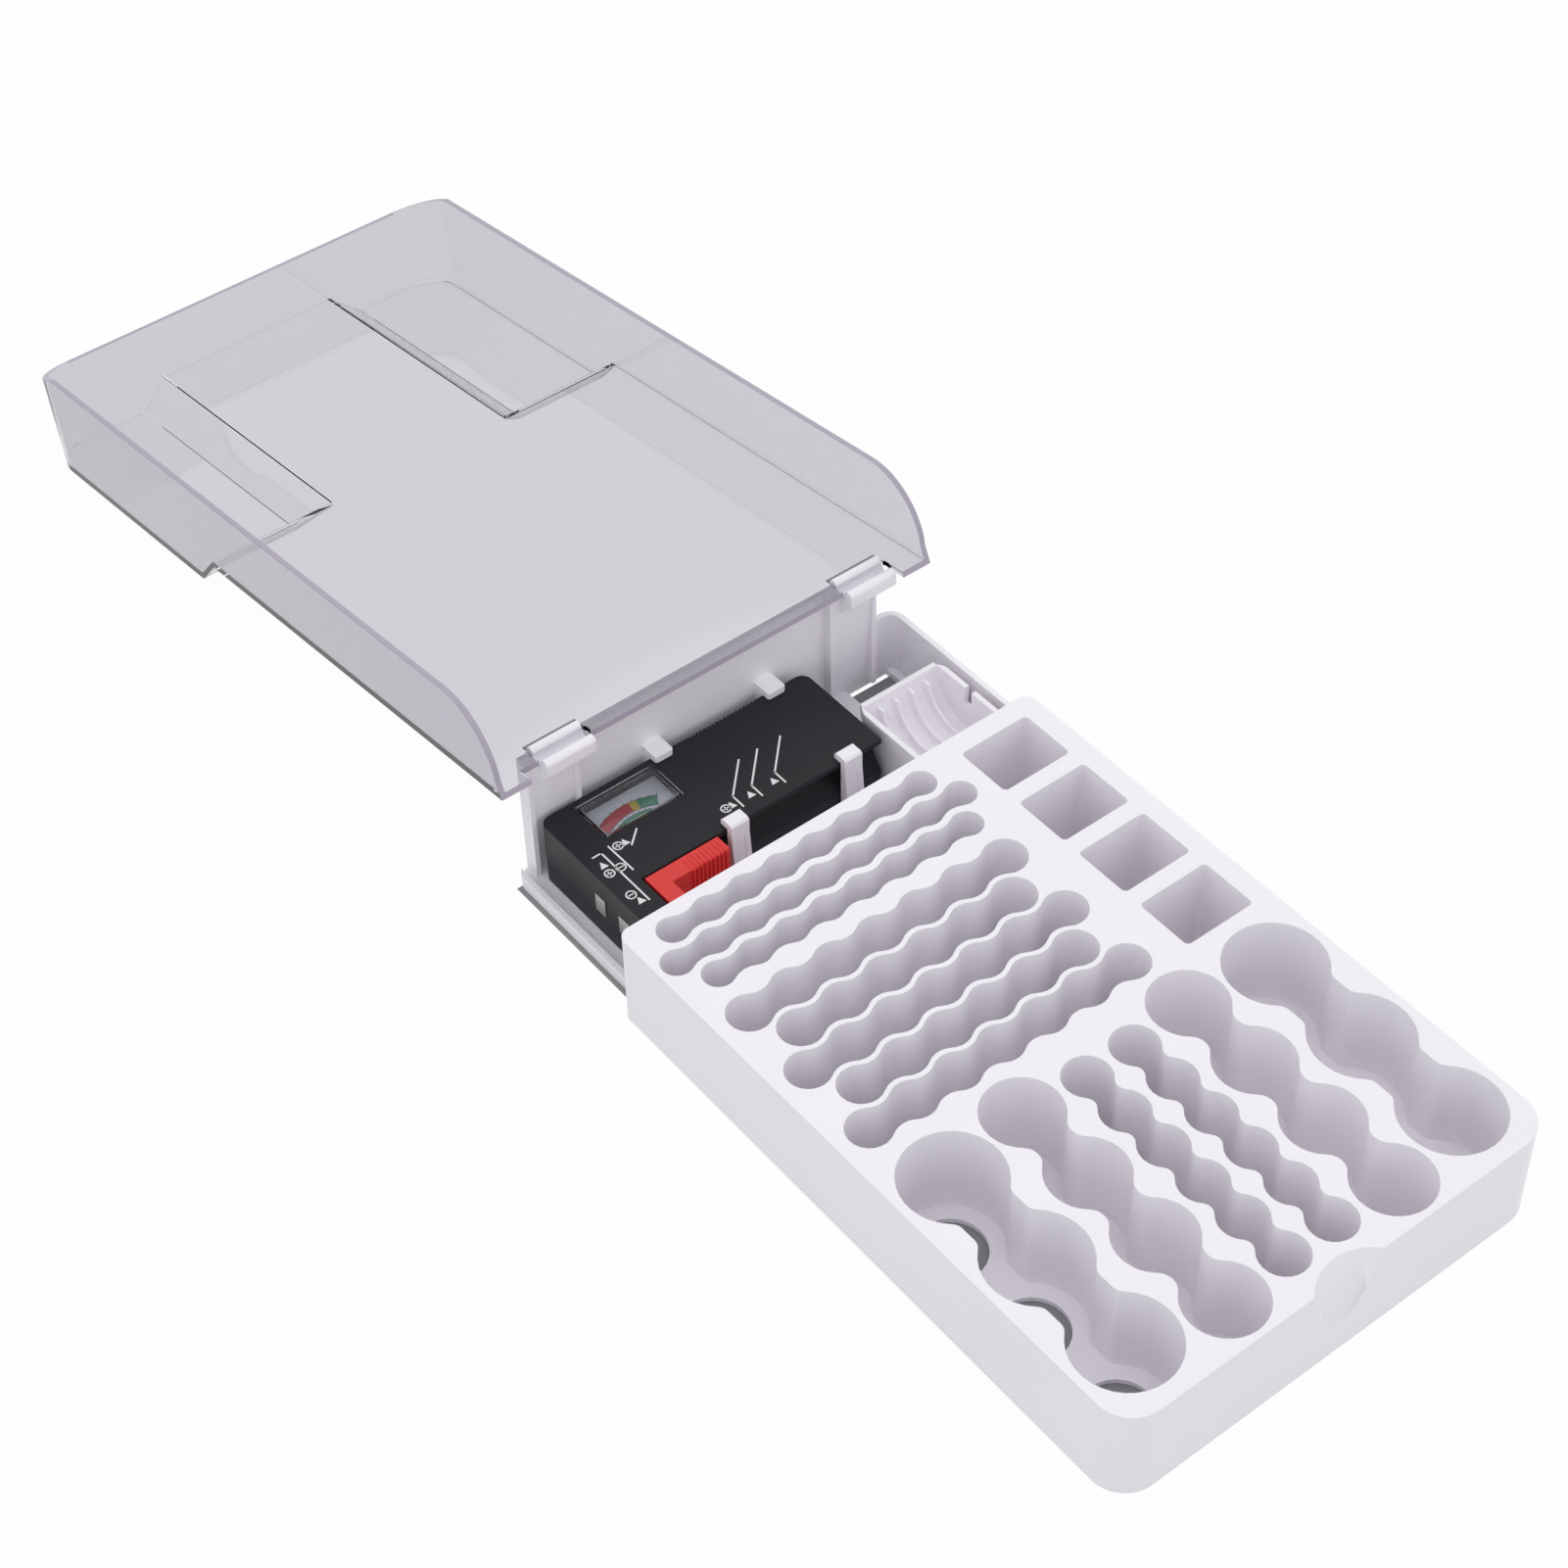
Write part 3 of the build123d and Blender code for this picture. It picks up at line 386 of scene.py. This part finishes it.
def trimLid(piece):
    mesh = piece.data
    for finish in faceKinds:
        mesh.materials.append(lidTrim[finish])
    for face in mesh.polygons:
        centre = toLid(face.center)
        facing = lidAxes.transposed() @ face.normal
        facingUp = facing.z > lidCut["facing"] and abs(facing.x) < lidCut["facing"]
        atRear = facing.y < -lidCut["facing"] and centre.y < lidCut["rear"]
        # painted highlight: the bar's small facets by the hinge take the bright crease finish so that it
        # looks white
        if math.hypot(centre.y, centre.z) < lidCut["bar"] and face.area < lidCut["barFacet"]:
            face.material_index = faceKinds["paintedHighlight"]
        # painted shade: rim tops and rear faces get the opaque purple-grey cut-edge finish
        elif atRear or facingUp and centre.z > lidCut["above"]:
            face.material_index = faceKinds["cut"]
    rounding = piece.modifiers["rounding"]
    # painted highlight: every face the lid's rounding makes takes the bright crease finish
    rounding.material = faceKinds["paintedHighlight"]
    rounding.limit_method = "WEIGHT"
    form = bmesh.new()
    form.from_mesh(mesh)
    weight = form.edges.layers.float.new("bevel_weight_edge")
    for edge in form.edges:
        if len(edge.link_faces) == 2 and edge.calc_face_angle() > merge["sharp"]:
            onRim = any(face.material_index == faceKinds["cut"] for face in edge.link_faces)
            edge[weight] = lidCut["rimShare" if onRim else "creaseShare"]
    form.to_mesh(mesh)
    form.free()


trimLid(finished["clear_lid"])
window = finished["meter_window"]
# painted highlight: the window's rounded edges take the bright crease finish as a light border
window.data.materials.append(lidTrim["paintedHighlight"])
window.modifiers["rounding"].material = len(window.data.materials) - 1
print("lid trimmed")


def flatPiece(name, outlines, height, finish, body, mapping=None):
    vertices, faces, shades = [], [], []
    for points, shade in outlines:
        faces.append(list(range(len(vertices), len(vertices) + len(points))))
        vertices += [(x, y, height) for x, y in points]
        shades.append(shade)
    mesh = bpy.data.meshes.new(name)
    if mapping:
        vertices = [mapping(*v) for v in vertices]
    mesh.from_pydata(vertices, [], faces)
    for material in finish:
        mesh.materials.append(material)
    mesh.polygons.foreach_set("material_index", shades)
    piece = bpy.data.objects.new(name, mesh)
    bpy.context.scene.collection.objects.link(piece)
    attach(piece, body)
    return piece


def stroke(start, end, width):
    along = (Vector(end) - Vector(start)).normalized() * width / 2
    side = Vector((-along.y, along.x))
    a, b = Vector(start) - along, Vector(end) + along
    return [tuple(a + side), tuple(a - side), tuple(b - side), tuple(b + side)]


def ringPieces(centre, inner, outer, start, end, steps):
    pieces = []
    for i in range(steps):
        low, high = (start + (end - start) * k / steps for k in (i, i + 1))
        corners = [(outer, low), (outer, high), (inner, high), (inner, low)]
        pieces.append([(centre[0] + r * math.sin(a), centre[1] + r * math.cos(a)) for r, a in corners])
    return pieces


dial = {  # millimetres and degrees about the needle's pivot
    "lift": 0.03 * mm, "outer": (20.0, 24.5), "inner": (15.5, 18.7), "line": 0.25,
    "arcStep": 2.5, "arcSteps": 24,
    "outerBands": ((-33, 5, 1), (5, 12, 2), (12, 30, 3)), "innerBands": ((-33, -25, 1), (-25, 22, 3)),
    "tickLength": 0.9, "tickWidth": 0.22, "tickStep": 7.0,
}


def makeDialPrint():
    pivot = joints["needle_swing"]["pos_m"][:2]
    shapes = []
    for (low, high), bands in ((dial["outer"], dial["outerBands"]), (dial["inner"], dial["innerBands"])):
        for start, end, shade in bands:
            steps = max(2, round((end - start) / dial["arcStep"]))
            shapes += [(p, shade) for p in ringPieces(pivot, low * mm, high * mm, math.radians(start),
                                                      math.radians(end), steps)]
        first, last = bands[0][0], bands[-1][1]
        for edge in (low, high):
            shapes += [(p, 0) for p in ringPieces(pivot, (edge - dial["line"] / 2) * mm,
                                                  (edge + dial["line"] / 2) * mm,
                                                  math.radians(first), math.radians(last), dial["arcSteps"])]
        for k in range(int((last - first) / dial["tickStep"]) + 1):
            turn = math.radians(first + k * dial["tickStep"])
            ends = [(pivot[0] + r * mm * math.sin(turn), pivot[1] + r * mm * math.cos(turn))
                    for r in (high, high + dial["tickLength"])]
            shapes.append((stroke(*ends, dial["tickWidth"] * mm), 0))
    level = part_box("meter_dial")[1].z
    for name, wanted, lift in (("dialBands", True, 1), ("dialLines", False, 2)):
        part = [(points, shade) for points, shade in shapes if (shade > 0) == wanted]
        flatPiece(name, part, level + lift * dial["lift"],
                  [prints[k] for k in ("black", "red", "yellow", "green")], "root")


makeDialPrint()
print("dial printed")


marks = {  # millimetres from the rear left corner of the tester's top
    "lift": 0.04 * mm, "line": 0.65, "arrow": 3.1, "ring": (1.45, 1.95), "bar": 1.9,
    "ringSteps": 24, "signShare": 0.7,
    "branches": (57.2, 65.2, 75.1), "branch": ((12.1, -19.5), (0.0, -31.9), (0.0, -37.7)),
    "branchArrow": (-2.8, -34.6),
    "lines": (((23.2, -23.5), (17.8, -28.2)), ((11.2, -24.1), (11.4, -37.4)), ((7.6, -25.0), (7.6, -51.5)),
              ((7.6, -25.0), (4.2, -25.0))),
    "arrows": ((16.6, -25.6), (5.2, -49.8), (4.8, -29.6)),
    "plus": ((52.0, -34.9), (13.9, -25.8), (4.4, -34.1)), "minus": ((8.9, -34.1), (4.2, -46.2)),
}


def makeTesterMarks():
    low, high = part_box("tester_top_shell")
    corner = (low.x, high.y)
    shapes = []

    def at(x, y):
        return corner[0] + x * mm, corner[1] + y * mm

    def arrow(x, y):
        half = marks["arrow"] / 2
        shapes.append([at(x - half, y - half), at(x + half, y - half), at(x, y + half)])

    for x0 in marks["branches"]:
        bends = [at(x0 + x, y) for x, y in marks["branch"]]
        shapes.extend(stroke(a, b, marks["line"] * mm) for a, b in zip(bends, bends[1:]))
        arrow(x0 + marks["branchArrow"][0], marks["branchArrow"][1])
    shapes.extend(stroke(at(*a), at(*b), marks["line"] * mm) for a, b in marks["lines"])
    for place in marks["arrows"]:
        arrow(*place)
    inner, outer = (radius * mm for radius in marks["ring"])
    half, signLine = marks["bar"] / 2, marks["signShare"] * marks["line"] * mm
    for signs, turns in ((marks["plus"], ((1, 0), (0, 1))), (marks["minus"], ((1, 0),))):
        for x, y in signs:
            shapes.extend(ringPieces(at(x, y), inner, outer, 0, 2 * math.pi, marks["ringSteps"]))
            shapes.extend(stroke(at(x - half * dx, y - half * dy), at(x + half * dx, y + half * dy), signLine)
                          for dx, dy in turns)
    flatPiece("testerMarks", [(points, 0) for points in shapes], high.z + marks["lift"], [prints["white"]],
              "root")


makeTesterMarks()
print("tester marked")


lidLines = {  # faint steps moulded in the panel, drawn as painted highlight lines; millimetres across and out from the hinge
    "width": 0.35, "lift": 0.02 * mm, "corner": 6.0, "steps": 8,
    "recess": (-48.0, 52.0, 27.0, 64.0), "shelf": ((-32.0, 288.0), (32.0, 288.0)),
}


def roundedOutline(x0, x1, y0, y1, radius, steps):
    points = []
    for cx, cy, start in ((x1 - radius, y1 - radius, 0), (x0 + radius, y1 - radius, 90),
                          (x0 + radius, y0 + radius, 180), (x1 - radius, y0 + radius, 270)):
        for k in range(steps + 1):
            turn = math.radians(start + 90 * k / steps)
            points.append((cx + radius * math.cos(turn), cy + radius * math.sin(turn)))
    return points + points[:1]


def makeLidLines():
    edge = roundedOutline(*lidLines["recess"], lidLines["corner"], lidLines["steps"])
    pairs = list(zip(edge, edge[1:])) + [lidLines["shelf"]]
    width, height = lidLines["width"] * mm, lidCut["panel"] + lidLines["lift"]
    shapes = [(stroke([v * mm for v in a], [v * mm for v in b], width), 0) for a, b in pairs]
    # painted highlight: the step lines are flat strips in the bright crease finish
    flatPiece("lidStepHighlights", shapes, height, [lidTrim["paintedHighlight"]], "lid", fromLid)


makeLidLines()
print("lid lines made")
